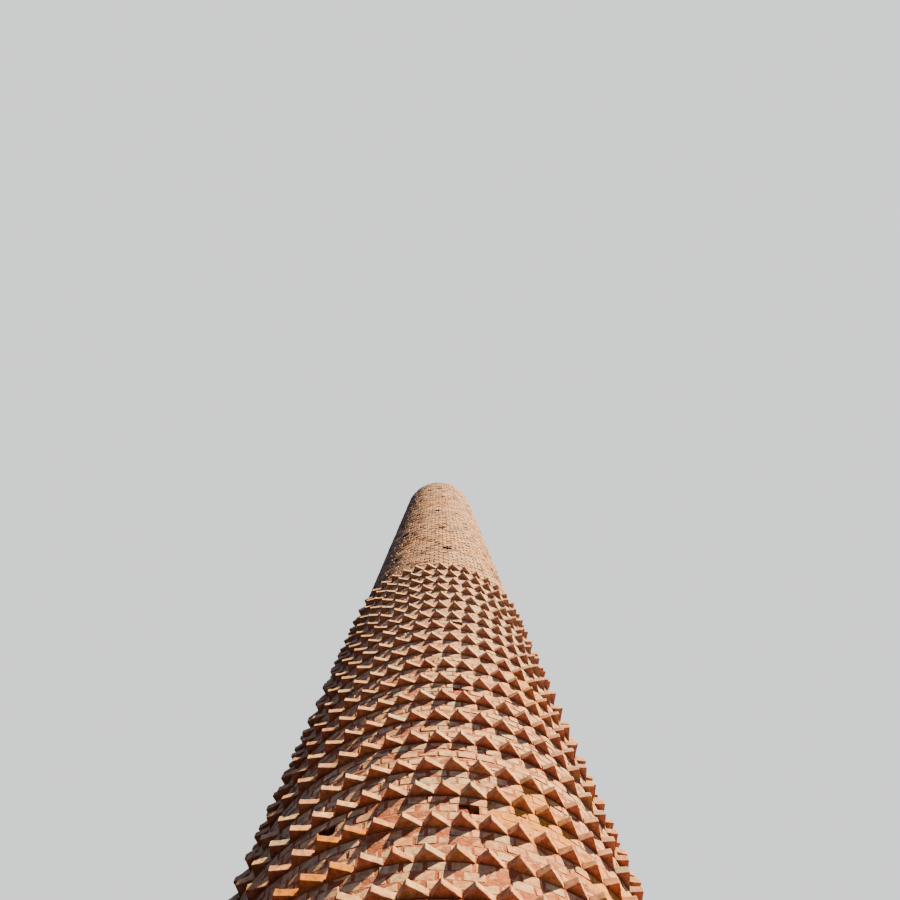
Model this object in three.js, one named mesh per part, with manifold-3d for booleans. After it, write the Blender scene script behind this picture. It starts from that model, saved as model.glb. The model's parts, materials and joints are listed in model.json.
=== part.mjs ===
// A round brick kiln chimney, about 19.7 m tall, standing free.
// Units are millimetres, +Z is up, and the origin is on the underside of the hearth floor, on the axis.
// The front of the chimney, the side with the putlog holes that the eye meets first, faces -Y.
import * as THREE from 'three';
import { mergeVertices } from 'three/addons/utils/BufferGeometryUtils.js';
import Module from 'manifold-3d';

// Brickwork. A course is one brick and its bed joint.
const BRICK_HEIGHT = 52;
const COURSE = 87.5;

// Outer face of the wall. It leans in by BATTER millimetres for each millimetre of height.
const TOP_ROW_Z = 11500;
const TOP_ROW_RADIUS = 1100;
const BATTER = 0.049;
const SHAFT_BATTER = 0.045;
const SHAFT_FOOT_Z = TOP_ROW_Z + COURSE;
const CHIMNEY_HEIGHT = SHAFT_FOOT_Z + 93 * COURSE;

// Wall thicknesses: two bricks, one and a half bricks and one brick.
const THICK_WALL = 450;
const MIDDLE_WALL = 335;
const THIN_WALL = 220;

// Rows of bricks laid with a corner outward, "teeth". Each row is one course high.
const TOOTH_DEPTH = 72;
const TOOTH_CORNER = 0.32;
const ROW_PITCH = 350;

// Plinth, flue mouth and hearth.
const PLINTH_RADIUS = 1800;
const PLINTH_STEP_Z = 6 * COURSE;
const FLUE_WIDTH = 700;
const FLUE_SPRINGING_Z = 7 * COURSE;
const FLUE_ARCH_THICKNESS = 220;
const FLUE_HEAD_Z = 15 * COURSE;
const HEARTH_THICKNESS = 70;

// Gap between faces that aren't level, and the numbers of flat sides.
const GAP = 0.3;
const WALL_SIDES = 48;
const BORE_SIDES = 32;
const REACH = 4000;

const QUARTERS = [
  { side: 'front', turn: -Math.PI / 2 },
  { side: 'right', turn: 0 },
  { side: 'back', turn: Math.PI / 2 },
  { side: 'left', turn: Math.PI },
];

// Rows of teeth from the top down: the drop from the row above, and where the tooth nearest
// to the front centre stands, as a part of one tooth step. The bottom eight rows are out of the
// photograph and go on in the same way.
const ROWS_DOWN = [
  { drop: 0, shift: 0.14 },
  { drop: ROW_PITCH, shift: -0.1 },
  { drop: ROW_PITCH, shift: 0.08 },
  { drop: ROW_PITCH, shift: -0.03 },
  { drop: ROW_PITCH, shift: 0.16 },
  { drop: ROW_PITCH, shift: 0.07 },
  { drop: ROW_PITCH, shift: -0.14 },
  { drop: ROW_PITCH, shift: -0.31 },
  { drop: ROW_PITCH, shift: -0.36 },
  { drop: ROW_PITCH, shift: -0.43 },
  { drop: ROW_PITCH, shift: 0.32 },
  { drop: ROW_PITCH, shift: 0.13 },
  { drop: ROW_PITCH, shift: 0.19 },
  { drop: ROW_PITCH, shift: -0.13 },
  { drop: ROW_PITCH, shift: -0.07 },
  { drop: 385, shift: -0.46 },
  { drop: 300, shift: 0.21 },
  { drop: 330, shift: -0.18 },
  { drop: 315, shift: -0.38 },
  { drop: 285, shift: 0.11 },
  { drop: ROW_PITCH, shift: -0.4 },
  { drop: ROW_PITCH, shift: 0.1 },
  { drop: ROW_PITCH, shift: -0.35 },
  { drop: ROW_PITCH, shift: 0.15 },
  { drop: ROW_PITCH, shift: -0.3 },
  { drop: ROW_PITCH, shift: 0.2 },
  { drop: ROW_PITCH, shift: -0.3 },
  { drop: ROW_PITCH, shift: 0.1 },
];

// The toothed wall is built in five lifts, from the bottom up.
const TOOTHED_LIFTS = [
  { rows: 6, teeth: 60, thickness: THICK_WALL },
  { rows: 6, teeth: 56, thickness: THICK_WALL },
  { rows: 6, teeth: 52, thickness: MIDDLE_WALL },
  { rows: 5, teeth: 48, thickness: MIDDLE_WALL },
  { rows: 5, teeth: 45, thickness: MIDDLE_WALL },
];

// The plain shaft is built in three lifts of 31 courses.
const SHAFT_LIFTS = [
  { courses: 31, thickness: MIDDLE_WALL },
  { courses: 31, thickness: THIN_WALL },
  { courses: 31, thickness: THIN_WALL },
];

const BRICK = new THREE.MeshStandardMaterial({ name: 'brick', color: 0xd9ac8a, roughness: 0.9, metalness: 0 });
const FLUE_BRICK = new THREE.MeshStandardMaterial({ name: 'flue_brick', color: 0x9c6248, roughness: 0.9, metalness: 0 });

const wasm = await Module();
wasm.setup();

function toSolid(geometry) {
  const bare = geometry.index ? geometry.toNonIndexed() : geometry.clone();
  bare.deleteAttribute('normal');
  bare.deleteAttribute('uv');
  const merged = mergeVertices(bare, 0.001);
  const mesh = new wasm.Mesh({
    numProp: 3,
    vertProperties: new Float32Array(merged.attributes.position.array),
    triVerts: new Uint32Array(merged.index.array),
  });
  return new wasm.Manifold(mesh);
}

function toGeometry(solid) {
  const mesh = solid.getMesh();
  const geometry = new THREE.BufferGeometry();
  geometry.setAttribute('position', new THREE.BufferAttribute(mesh.vertProperties, 3));
  geometry.setIndex(new THREE.BufferAttribute(mesh.triVerts, 1));
  geometry.computeVertexNormals();
  return geometry;
}

function wallRadius(z) {
  const batter = z > TOP_ROW_Z ? SHAFT_BATTER : BATTER;
  return TOP_ROW_RADIUS - batter * (z - TOP_ROW_Z);
}

// A solid of revolution about Z from points (radius, z).
function turned(points, sides) {
  const profile = points.map(([radius, z]) => new THREE.Vector2(radius, z));
  const geometry = new THREE.LatheGeometry(profile, sides);
  geometry.rotateX(Math.PI / 2);
  return toSolid(geometry);
}

// The round hollow inside one lift of the wall, with its ends a little past the lift's.
function bore(lowZ, highZ, thickness) {
  const below = lowZ - GAP;
  const above = highZ + GAP;
  return turned([
    [0, below],
    [wallRadius(below) - thickness, below],
    [wallRadius(above) - thickness, above],
    [0, above],
  ], BORE_SIDES);
}

// One quarter of the space round the axis, set back from its neighbours by half the gap.
function quarterSpace(turn, lowZ, highZ) {
  const start = GAP / Math.SQRT2;
  const outline = new THREE.Shape();
  outline.moveTo(start, 0);
  outline.lineTo(start + REACH, -REACH);
  outline.lineTo(start + REACH, REACH);
  outline.closePath();
  const geometry = new THREE.ExtrudeGeometry(outline, { depth: highZ - lowZ, bevelEnabled: false });
  geometry.rotateZ(turn);
  geometry.translate(0, 0, lowZ);
  return toSolid(geometry);
}

function box(lowX, highX, lowY, highY, lowZ, highZ) {
  const geometry = new THREE.BoxGeometry(highX - lowX, highY - lowY, highZ - lowZ);
  geometry.translate((lowX + highX) / 2, (lowY + highY) / 2, (lowZ + highZ) / 2);
  return toSolid(geometry);
}

// Points of one level of a toothed ring: wall points where two teeth meet, or the corners themselves.
function ringPoint(index, shift, teeth, radius, z) {
  const angle = -Math.PI / 2 + ((index + shift) * 2 * Math.PI) / teeth;
  return new THREE.Vector3(radius * Math.cos(angle), radius * Math.sin(angle), z);
}

// The full outer form of one lift, closed at both ends, with its rows of teeth.
function toothedForm(rows, teeth, lowZ, highZ) {
  const corners = [];
  const triangle = (a, b, c) => corners.push(a, b, c);
  const quad = (a, b, c, d) => {
    triangle(a, b, c);
    triangle(a, c, d);
  };
  const bottomCentre = new THREE.Vector3(0, 0, lowZ);
  const topCentre = new THREE.Vector3(0, 0, highZ);
  const levels = rows.map((row) => ({ ...row, valley: row.shift - TOOTH_CORNER }));
  const at = (index, level, z) => ringPoint(index, level.valley, teeth, wallRadius(z), z);
  for (let i = 0; i < teeth; i += 1) {
    let lower = levels[0];
    let lowerZ = lowZ;
    triangle(bottomCentre, at(i + 1, lower, lowZ), at(i, lower, lowZ));
    for (const level of levels) {
      const topZ = level.z + BRICK_HEIGHT;
      const outerRadius = wallRadius(level.z) + TOOTH_DEPTH;
      const left = at(i, level, level.z);
      const right = at(i + 1, level, level.z);
      const corner = ringPoint(i, level.shift, teeth, outerRadius, level.z);
      const upperLeft = at(i, level, topZ);
      const upperRight = at(i + 1, level, topZ);
      const upperCorner = ringPoint(i, level.shift, teeth, outerRadius, topZ);
      quad(at(i, lower, lowerZ), at(i + 1, lower, lowerZ), right, left);
      triangle(left, right, corner);
      quad(left, corner, upperCorner, upperLeft);
      quad(corner, right, upperRight, upperCorner);
      triangle(upperLeft, upperCorner, upperRight);
      lower = level;
      lowerZ = topZ;
    }
    quad(at(i, lower, lowerZ), at(i + 1, lower, lowerZ), at(i + 1, lower, highZ), at(i, lower, highZ));
    triangle(topCentre, at(i, lower, highZ), at(i + 1, lower, highZ));
  }
  return toSolid(new THREE.BufferGeometry().setFromPoints(corners));
}

const group = new THREE.Group();

function addMesh(name, solid, material = BRICK) {
  const mesh = new THREE.Mesh(toGeometry(solid), material);
  mesh.name = name;
  group.add(mesh);
}

function addQuarters(name, ring, lowZ, highZ) {
  for (const { side, turn } of QUARTERS) {
    addMesh(`${name}_${side}`, ring.intersect(quarterSpace(turn, lowZ, highZ)));
  }
}

// Heights of the rows, from the bottom up.
let rowZ = TOP_ROW_Z;
const rowsUp = ROWS_DOWN.map(({ drop, shift }) => {
  rowZ -= drop;
  return { z: rowZ, shift };
}).reverse();

// Each lift starts one course below its first row.
const liftFeet = [];
let firstRow = 0;
for (const { rows } of TOOTHED_LIFTS) {
  liftFeet.push(rowsUp[firstRow].z - COURSE);
  firstRow += rows;
}
liftFeet.push(SHAFT_FOOT_Z);
const PLINTH_TOP_Z = liftFeet[0];

function addPlinth() {
  const ring = turned([
    [0, 0],
    [PLINTH_RADIUS, 0],
    [PLINTH_RADIUS, PLINTH_STEP_Z],
    [wallRadius(PLINTH_STEP_Z), PLINTH_STEP_Z],
    [wallRadius(PLINTH_TOP_Z), PLINTH_TOP_Z],
    [0, PLINTH_TOP_Z],
  ], WALL_SIDES).subtract(bore(0, PLINTH_TOP_Z, THICK_WALL));
  for (const { side, turn } of QUARTERS.filter((quarter) => quarter.side !== 'back')) {
    addMesh(`plinth_${side}`, ring.intersect(quarterSpace(turn, 0, PLINTH_TOP_Z)));
  }

  // The back quarter stands beside and over the arched flue mouth.
  const back = ring.intersect(quarterSpace(Math.PI / 2, 0, PLINTH_TOP_Z));
  const halfWidth = FLUE_WIDTH / 2;
  const archRadius = halfWidth + FLUE_ARCH_THICKNESS;
  const arch = (radius) => {
    const geometry = new THREE.CylinderGeometry(radius, radius, REACH, WALL_SIDES);
    geometry.translate(0, REACH / 2, 0);
    const disc = toSolid(geometry);
    return disc.translate([0, 0, FLUE_SPRINGING_Z]);
  };
  const aboveSpringing = box(-REACH, REACH, 0, REACH, FLUE_SPRINGING_Z, PLINTH_TOP_Z);
  const way = box(-halfWidth, halfWidth, 0, REACH, -GAP, FLUE_SPRINGING_Z);
  const archSeat = arch(archRadius + GAP).intersect(aboveSpringing);
  const sides = back.subtract(way).subtract(archSeat);
  addMesh('plinth_back_right', sides.intersect(box(GAP / 2, REACH, 0, REACH, -GAP, FLUE_HEAD_Z)));
  addMesh('plinth_back_left', sides.intersect(box(-REACH, -GAP / 2, 0, REACH, -GAP, FLUE_HEAD_Z)));
  addMesh('plinth_back_top', back.intersect(box(-REACH, REACH, 0, REACH, FLUE_HEAD_Z, PLINTH_TOP_Z)));
  const archRing = arch(archRadius).subtract(arch(halfWidth)).intersect(aboveSpringing);
  addMesh('flue_arch', archRing.intersect(back), FLUE_BRICK);

  const hearthRadius = wallRadius(HEARTH_THICKNESS) - THICK_WALL - GAP;
  addMesh('hearth_floor', turned([
    [0, 0],
    [hearthRadius, 0],
    [hearthRadius, HEARTH_THICKNESS],
    [0, HEARTH_THICKNESS],
  ], BORE_SIDES), FLUE_BRICK);
}

function addToothedWall() {
  let first = 0;
  TOOTHED_LIFTS.forEach(({ rows, teeth, thickness }, lift) => {
    const lowZ = liftFeet[lift];
    const highZ = liftFeet[lift + 1];
    const form = toothedForm(rowsUp.slice(first, first + rows), teeth, lowZ, highZ);
    addQuarters(`toothed_wall_${lift + 1}`, form.subtract(bore(lowZ, highZ, thickness)), lowZ, highZ);
    first += rows;
  });
}

function addShaft() {
  let lowZ = SHAFT_FOOT_Z;
  SHAFT_LIFTS.forEach(({ courses, thickness }, lift) => {
    const highZ = lowZ + courses * COURSE;
    const form = turned([
      [0, lowZ],
      [wallRadius(lowZ), lowZ],
      [wallRadius(highZ), highZ],
      [0, highZ],
    ], WALL_SIDES);
    addQuarters(`shaft_wall_${lift + 1}`, form.subtract(bore(lowZ, highZ, thickness)), lowZ, highZ);
    lowZ = highZ;
  });
}

addPlinth();
addToothedWall();
addShaft();

export default group;
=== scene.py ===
import json
import math
import random

import bmesh
import bpy
from mathutils import Matrix, Vector, noise as hills

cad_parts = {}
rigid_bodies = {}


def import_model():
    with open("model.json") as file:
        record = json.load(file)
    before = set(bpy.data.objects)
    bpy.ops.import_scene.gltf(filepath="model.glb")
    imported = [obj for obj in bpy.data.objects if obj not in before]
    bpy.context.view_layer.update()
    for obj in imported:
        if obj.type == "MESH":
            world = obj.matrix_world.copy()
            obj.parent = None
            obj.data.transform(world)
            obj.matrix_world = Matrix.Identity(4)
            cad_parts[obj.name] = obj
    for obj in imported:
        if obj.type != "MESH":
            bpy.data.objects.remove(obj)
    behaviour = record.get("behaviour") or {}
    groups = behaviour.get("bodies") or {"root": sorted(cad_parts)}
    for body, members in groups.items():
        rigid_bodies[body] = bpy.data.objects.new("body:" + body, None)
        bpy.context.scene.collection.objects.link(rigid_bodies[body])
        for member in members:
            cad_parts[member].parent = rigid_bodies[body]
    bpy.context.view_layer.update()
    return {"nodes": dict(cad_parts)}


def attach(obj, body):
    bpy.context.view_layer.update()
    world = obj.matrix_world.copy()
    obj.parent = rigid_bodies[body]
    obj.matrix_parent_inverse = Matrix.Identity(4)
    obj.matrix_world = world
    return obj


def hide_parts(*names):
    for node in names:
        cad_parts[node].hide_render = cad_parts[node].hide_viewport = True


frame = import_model()

# Sizes, the same as in the solids.
COURSE = 0.0875
BRICK_HEIGHT = 0.065
TOOTH_HEIGHT = 0.052
TOOTH_DEPTH = 0.072
TOOTH_CORNER = 0.32
TOP_ROW_Z = 11.5
TOP_ROW_RADIUS = 1.1
BATTER = 0.049
SHAFT_BATTER = 0.045
SHAFT_FOOT_Z = TOP_ROW_Z + COURSE
PLINTH_RADIUS = 1.8
PLINTH_THICKNESS = 0.45
PLINTH_STEP_COURSES = 6
PLINTH_STEP_Z = PLINTH_STEP_COURSES * COURSE
FLUE_HALF_WIDTH = 0.35
FLUE_SPRINGING_Z = 7 * COURSE
FLUE_ARCH_THICKNESS = 0.22

# Lifts of the toothed wall from the bottom up: rows, teeth in a row and wall thickness.
TOOTHED_LIFTS = [(6, 60, 0.45), (6, 56, 0.45), (6, 52, 0.335), (5, 48, 0.335), (5, 45, 0.335)]

# Lifts of the plain shaft from the bottom up: courses and wall thickness.
SHAFT_LIFTS = [(31, 0.335), (31, 0.22), (31, 0.22)]
SHAFT_COURSES = sum(count for count, thickness in SHAFT_LIFTS)
CHIMNEY_TOP_Z = SHAFT_FOOT_Z + SHAFT_COURSES * COURSE

# Rows of teeth from the top down: the drop from the row above, and how far along one tooth step
# the tooth nearest to the front stands.
ROWS_DOWN = [
    (0.0, 0.14), (0.35, -0.1), (0.35, 0.08), (0.35, -0.03), (0.35, 0.16), (0.35, 0.07), (0.35, -0.14),
    (0.35, -0.31), (0.35, -0.36), (0.35, -0.43), (0.35, 0.32), (0.35, 0.13), (0.35, 0.19), (0.35, -0.13),
    (0.35, -0.07), (0.385, -0.46), (0.3, 0.21), (0.33, -0.18), (0.315, -0.38), (0.285, 0.11),
    (0.35, -0.4), (0.35, 0.1), (0.35, -0.35), (0.35, 0.15), (0.35, -0.3), (0.35, 0.2), (0.35, -0.3),
    (0.35, 0.1),
]

# Bricks as they are laid round the wall, with their ends showing.
HEADER_PITCH = 0.1225
HEAD_JOINT = 0.018
TIGHT_JOINT = 0.012
BED_JOINT = COURSE - BRICK_HEIGHT
STEP_BED = 0.004
UPPER_PLINTH_COURSES = 19
FRONT = -math.pi / 2

# Holes in the brickwork, each one brick wide: degrees to the right of the front, and height.
PUTLOG_HOLES = [
    (5.4, 12.72), (-32.8, 12.79), (4.3, 14.29), (-31.7, 14.4), (-3.5, 15.88), (-21.7, 15.88),
    (3.7, 17.55), (-23.5, 17.47), (2.6, 18.74), (-15.2, 18.67),
    (-78, 12.75), (-118, 12.75), (-158, 12.75), (162, 12.75), (122, 12.75), (-76, 14.33), (-116, 14.33),
    (-160, 14.33), (156, 14.33), (118, 14.33), (-84, 15.88), (-122, 15.88), (-165, 15.88), (152, 15.88),
    (-80, 17.5), (-125, 17.5), (170, 17.5), (128, 17.5),
]
HOLE_DEPTH = 0.12

# Missing bricks: degrees to the right of the front, height, and the share of the brick that is left inside.
MISSING_BRICKS = [
    (8.2, 5.78, 0.5), (-25.8, 5.79, 0.3), (7.0, 7.5, 1.0), (8.2, 9.26, 0.9), (96, 8.9, 0.5),
    (-131, 6.85, 0.6), (163, 9.95, 0.4), (-104, 3.4, 0.7), (140, 3.05, 0.5),
]

# Teeth of hard orange clay: row counted from the top, and degrees to the right of the front.
ORANGE_TEETH = [
    (17, -26.7), (17, -19.4), (18, -20.1), (18, -27.0), (18, -34.7),
    (9, 118.0), (15, 150.0), (21, -140.0), (23, 96.0), (12, -155.0),
]

# Tan stains on the wall: degrees to the right of the front, height, reach and strength.
TAN_STAINS = [
    (26.2, 6.15, 0.18, 1.0), (23.5, 5.83, 0.3, 1.0), (14.9, 5.79, 0.12, 0.8), (44.0, 5.55, 0.3, 1.0),
    (37.3, 7.81, 0.28, 0.9), (37.3, 8.23, 0.22, 0.9), (-21.0, 13.5, 0.34, 0.4), (8.0, 13.2, 0.26, 0.4),
    (-2.0, 17.0, 0.5, 0.35), (42.0, 13.1, 0.28, 0.6), (48.0, 13.8, 0.22, 0.7), (47.0, 16.6, 0.4, 0.6),
    (130.0, 7.2, 0.3, 0.6), (-140.0, 9.8, 0.3, 0.5), (175.0, 5.2, 0.3, 0.6), (-100.0, 13.5, 0.3, 0.4),
]

# Colours of the bricks' weathering, and of the shade painted on them: on faces that look down or to the left,
# cooler and greyer on the upper rows, and in their pits.
PALE_CLAY = (0.55, 0.345, 0.185)
GREY_CLAY = (0.36, 0.32, 0.19)
LICHEN = (0.43, 0.43, 0.26)
TAN_STAIN = (0.5, 0.215, 0.025)
ORANGE_CLAY = (0.44, 0.15, 0.0)
MOSSY_CLAY = (0.3, 0.2, 0.12)
UPPER_ROWS_SHADE_TINT_CLAY = (0.46, 0.37, 0.24)
UNDERSIDE_SHADE_CLAY = (0.34, 0.14, 0.115)
UPPER_ROWS_UNDERSIDE_SHADE_CLAY = (0.24, 0.18, 0.165)
PIT_SHADOW_CLAY = (0.16, 0.06, 0.03)
DAMP_CLAY = (0.13, 0.09, 0.065)
SOOT = (0.05, 0.04, 0.035)

# Colours of the mortar's weathering, and of the shade painted on it: cooler and greyer on the upper rows, and
# in its pits.
UPPER_ROWS_SHADE_TINT_MORTAR = (0.36, 0.24, 0.17)
PALE_MORTAR = (0.37, 0.19, 0.1)
LIMED_MORTAR = (0.4, 0.25, 0.14)
MORTAR_LICHEN = (0.32, 0.3, 0.18)
PIT_SHADOW_MORTAR = (0.11, 0.04, 0.02)
DAMP_MORTAR = (0.11, 0.075, 0.06)


def wall_radius(z):
    batter = SHAFT_BATTER if z > TOP_ROW_Z else BATTER
    return TOP_ROW_RADIUS - batter * (z - TOP_ROW_Z)


def on_wall(degrees, z):
    """A point on the wall's face, given in degrees to the right of the front."""
    angle = FRONT + math.radians(degrees)
    return Vector((wall_radius(z) * math.cos(angle), wall_radius(z) * math.sin(angle), z))


# Courses and lifts.

rows_up = []
row_z = TOP_ROW_Z
for drop, shift in ROWS_DOWN:
    row_z -= drop
    rows_up.append((row_z, shift))
rows_up.reverse()


class Course:
    """One ring of bricks or teeth: its lowest and highest edge, and its bond.

    The bond is how far round the ring is shifted, as a share of one brick or tooth.
    """

    def __init__(self, low, high, bond, teeth=False):
        self.low = low
        self.high = high
        self.bond = bond
        self.teeth = teeth
        self.middle = (low + high) / 2


def even_courses(low, high, count, first_bond):
    """Plain courses that fill a height, each with one joint above it."""
    step = (high - low) / count
    return [
        Course(low + i * step, low + (i + 1) * step - BED_JOINT, 0.5 * ((first_bond + i) % 2))
        for i in range(count)
    ]


def courses_between_rows(low, high, first_bond):
    """Three plain courses between the top of one row of teeth and the foot of the next."""
    joint = (high - low - 3 * BRICK_HEIGHT) / 4
    step = BRICK_HEIGHT + joint
    return [
        Course(low + joint + i * step, low + (i + 1) * step, 0.5 * ((first_bond + i) % 2))
        for i in range(3)
    ]


foot_courses = even_courses(0.0, PLINTH_STEP_Z + BED_JOINT, PLINTH_STEP_COURSES, 0)
upper_courses = even_courses(PLINTH_STEP_Z + STEP_BED, rows_up[0][0], UPPER_PLINTH_COURSES, 0)
for (lower_z, lower_shift), (upper_z, upper_shift) in zip(rows_up, rows_up[1:] + [(SHAFT_FOOT_Z, 0)]):
    upper_courses.append(Course(lower_z, lower_z + TOOTH_HEIGHT, lower_shift, teeth=True))
    if upper_z < SHAFT_FOOT_Z:
        upper_courses += courses_between_rows(lower_z + TOOTH_HEIGHT, upper_z, len(upper_courses) % 2)
upper_courses += even_courses(SHAFT_FOOT_Z, CHIMNEY_TOP_Z + BED_JOINT, SHAFT_COURSES, 1)


class Lift:
    """One height of the wall, with its own number of bricks in a ring."""

    def __init__(self, name, low, high, thickness, teeth=0):
        self.name = name
        self.low = low
        self.high = high
        self.thickness = thickness
        self.teeth = teeth
        self.courses = [course for course in upper_courses if low < course.middle < high]
        girth = 2 * math.pi * wall_radius((low + high) / 2)
        self.bricks = round(girth / HEADER_PITCH)
        self.pitch = girth / self.bricks

    def nearest_brick(self, degrees, z):
        """The plain course and the brick in it that stand nearest to a place on the wall."""
        course = min((c for c in self.courses if not c.teeth), key=lambda c: abs(c.middle - z))
        return course, round(degrees * self.bricks / 360 - course.bond)

    def brick_centre(self, course, slot):
        return on_wall((slot + course.bond) * 360 / self.bricks, course.middle)

    def left_out_bricks(self):
        """The bricks that are missing, as (course, slot)."""
        places = [place[:2] for place in PUTLOG_HOLES + MISSING_BRICKS if self.low < place[1] < self.high]
        return [self.nearest_brick(*place) for place in places]

    def left_out_places(self):
        return [self.brick_centre(course, slot) for course, slot in self.left_out_bricks()]

    def nodes(self):
        """The solids of this lift."""
        return [f"{self.name}_{side}" for side in ("front", "right", "back", "left")]


lift_feet = []
first_row = 0
for rows, teeth, thickness in TOOTHED_LIFTS:
    lift_feet.append(rows_up[first_row][0] - COURSE)
    first_row += rows
lift_feet.append(SHAFT_FOOT_Z)
PLINTH_TOP_Z = lift_feet[0]

toothed_lifts = [
    Lift(f"toothed_wall_{i + 1}", lift_feet[i], lift_feet[i + 1], thickness, teeth)
    for i, (rows, teeth, thickness) in enumerate(TOOTHED_LIFTS)
]
shaft_lifts = []
shaft_z = SHAFT_FOOT_Z
for i, (count, thickness) in enumerate(SHAFT_LIFTS):
    shaft_lifts.append(Lift(f"shaft_wall_{i + 1}", shaft_z, shaft_z + count * COURSE, thickness))
    shaft_z += count * COURSE
plinth_lift = Lift("plinth", PLINTH_STEP_Z, PLINTH_TOP_Z, PLINTH_THICKNESS)


# Small helpers for meshes.


def link_object(name, data):
    made = bpy.data.objects.new(name, data)
    bpy.context.scene.collection.objects.link(made)
    return made


def add_object(name, bm):
    mesh = bpy.data.meshes.new(name)
    bm.to_mesh(mesh)
    bm.free()
    return link_object(name, mesh)


def closed_object(name, bm, *materials):
    """The object of a closed shape, with its faces turned outward."""
    bmesh.ops.recalc_face_normals(bm, faces=bm.faces)
    made = add_object(name, bm)
    for material in materials:
        made.data.materials.append(material)
    return made


def loft(bm, rings, material=0):
    """Closed bands of faces between rings that have the same number of points."""
    faces = []
    for lower, upper in zip(rings, rings[1:]):
        for i in range(len(lower)):
            j = (i + 1) % len(lower)
            face = bm.faces.new((lower[i], lower[j], upper[j], upper[i]))
            face.material_index = material
            faces.append(face)
    return faces


def loft_with_ends(bm, rings):
    loft(bm, rings)
    bm.faces.new(rings[0][::-1])
    bm.faces.new(rings[-1])


def ring(bm, radius, z, sides):
    angles = [FRONT + i * 2 * math.pi / sides for i in range(sides)]
    return [bm.verts.new((radius * math.cos(angle), radius * math.sin(angle), z)) for angle in angles]


# Brick and tooth shapes.
# Along x a shape is in metres, out of the wall, and y and z are parts of its width and height.


def shape_object(name, bm):
    """A shape whose points also know where they stand across, up and out of their brick."""
    made = closed_object(name, bm)
    places = [point.co.copy() for point in made.data.vertices]
    for key, axis, times in (("across", 1, 2), ("up", 2, 2), ("out", 0, 1)):
        layer = made.data.attributes.new(key, "FLOAT", "POINT")
        layer.data.foreach_set("value", [times * place[axis] for place in places])
    return made


def brick_shape(name, depth, rng, inner_width, broken):
    """A brick's worn end, with a rough edge behind it, and one corner broken off if it is a broken one."""
    bm = bmesh.new()
    damaged = rng.randrange(4) if broken else -1
    face, edge, back = [], [], []
    for i, (y, z) in enumerate([(-0.5, -0.5), (0.5, -0.5), (0.5, 0.5), (-0.5, 0.5)]):
        if i == damaged:
            worn_corner = (-0.008, y * 0.5, z * 0.35)
            rough_corner = (-0.022, y * 0.97, z * 0.95)
        else:
            sunk = rng.uniform(-0.004, 0.001)
            worn_corner = (sunk, y * rng.uniform(0.9, 0.97), z * rng.uniform(0.82, 0.94))
            rough_corner = (-0.005, y * rng.uniform(0.96, 1.03), z * rng.uniform(0.92, 1.04))
        face.append(bm.verts.new(worn_corner))
        edge.append(bm.verts.new(rough_corner))
        back.append(bm.verts.new((-depth, y * inner_width, z)))
    loft_with_ends(bm, [back, edge, face])
    return shape_object(name, bm)


LONG_FACE_SHARES = (0.12, 0.32, 0.48, 0.66, 0.82)


def tooth_shape(name, rng, worn, chips):
    """A brick laid with a corner outward: a short face on its left and a long face on its right.

    Each chip is a share of the way along the long face, where the top edge is broken down.
    """
    reach = TOOTH_DEPTH * rng.uniform(0.94, 1.0)
    nose = rng.uniform(-0.02, 0.02)
    left, right = -TOOTH_CORNER, 1 - TOOTH_CORNER
    outline = [(-0.05, left), (0.0, left)]
    outline += [(reach * 0.88, nose - 0.045), (reach * 0.97, nose - 0.015), (reach, nose + 0.015)]
    outline += [(reach * (1 - share), nose + (right - nose) * share) for share in LONG_FACE_SHARES]
    outline += [(0.0, right), (-0.05, right)]
    bm = bmesh.new()
    rings = []
    for level, inset in ((-0.5, 1), (-0.42, 0), (0.4, 0), (0.5, 1)):
        points = []
        for x, y in outline:
            z = level
            share = (y - nose) / (right - nose)
            if x > 0:
                x -= 0.003 * inset + reach * worn * rng.uniform(0.6, 1.1) * (1.0 if level > 0 else 0.5)
                y += rng.uniform(-0.008, 0.008)
                z += rng.uniform(-0.02, 0.02) * (level > 0)
            if level > 0 and x > 0 and any(abs(share - chip) < 0.09 for chip in chips):
                x -= 0.004 + 0.006 * inset
                z -= rng.uniform(0.06, 0.14)
            points.append(bm.verts.new((x, y, z)))
        rings.append(points)
    loft_with_ends(bm, rings)
    return shape_object(name, bm)


def shape_box(name, shapes):
    """A collection of shapes that the laying trees pick from."""
    made = bpy.data.collections.new(name)
    bpy.context.scene.collection.children.link(made)
    for shape in shapes:
        bpy.context.scene.collection.objects.unlink(shape)
        made.objects.link(shape)
    return made


# Kinds of brick shapes: how many, how many of them are whole, their depth, and their inner end's width.
BRICK_SHAPES = {
    "header": (14, 10, 0.05, 1.0),
    "ledge": (6, 5, 0.165, 1.0),
    "rim": (6, 4, 0.212, 0.72),
    "block": (6, 5, 0.108, 1.0),
}

# Teeth: how worn each shape is, as a share of its reach, and the one that is also chipped.
TOOTH_WEAR = [0, 0.02, 0, 0.03, 0, 0.01, 0.04, 0.12, 0, 0.03, 0.02, 0.05]
CHIPPED_TOOTH = 10
CHIPS = (0.32, 0.48)

shape_rng = random.Random(7)
shape_boxes = {}
for kind, (count, whole, depth, inner_width) in BRICK_SHAPES.items():
    shape_boxes[kind] = shape_box(f"{kind} shapes", [
        brick_shape(f"{kind}_shape_{i}", depth, shape_rng, inner_width, i >= whole) for i in range(count)
    ])
shape_boxes["tooth"] = shape_box("tooth shapes", [
    tooth_shape(f"tooth_shape_{i}", shape_rng, worn, CHIPS if i == CHIPPED_TOOTH else ())
    for i, worn in enumerate(TOOTH_WEAR)
])


# Node tree helpers.


def pin(node, name):
    """The input of a node that has this name and is in use."""
    return next(socket for socket in node.inputs if socket.name == name and socket.enabled)


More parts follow.
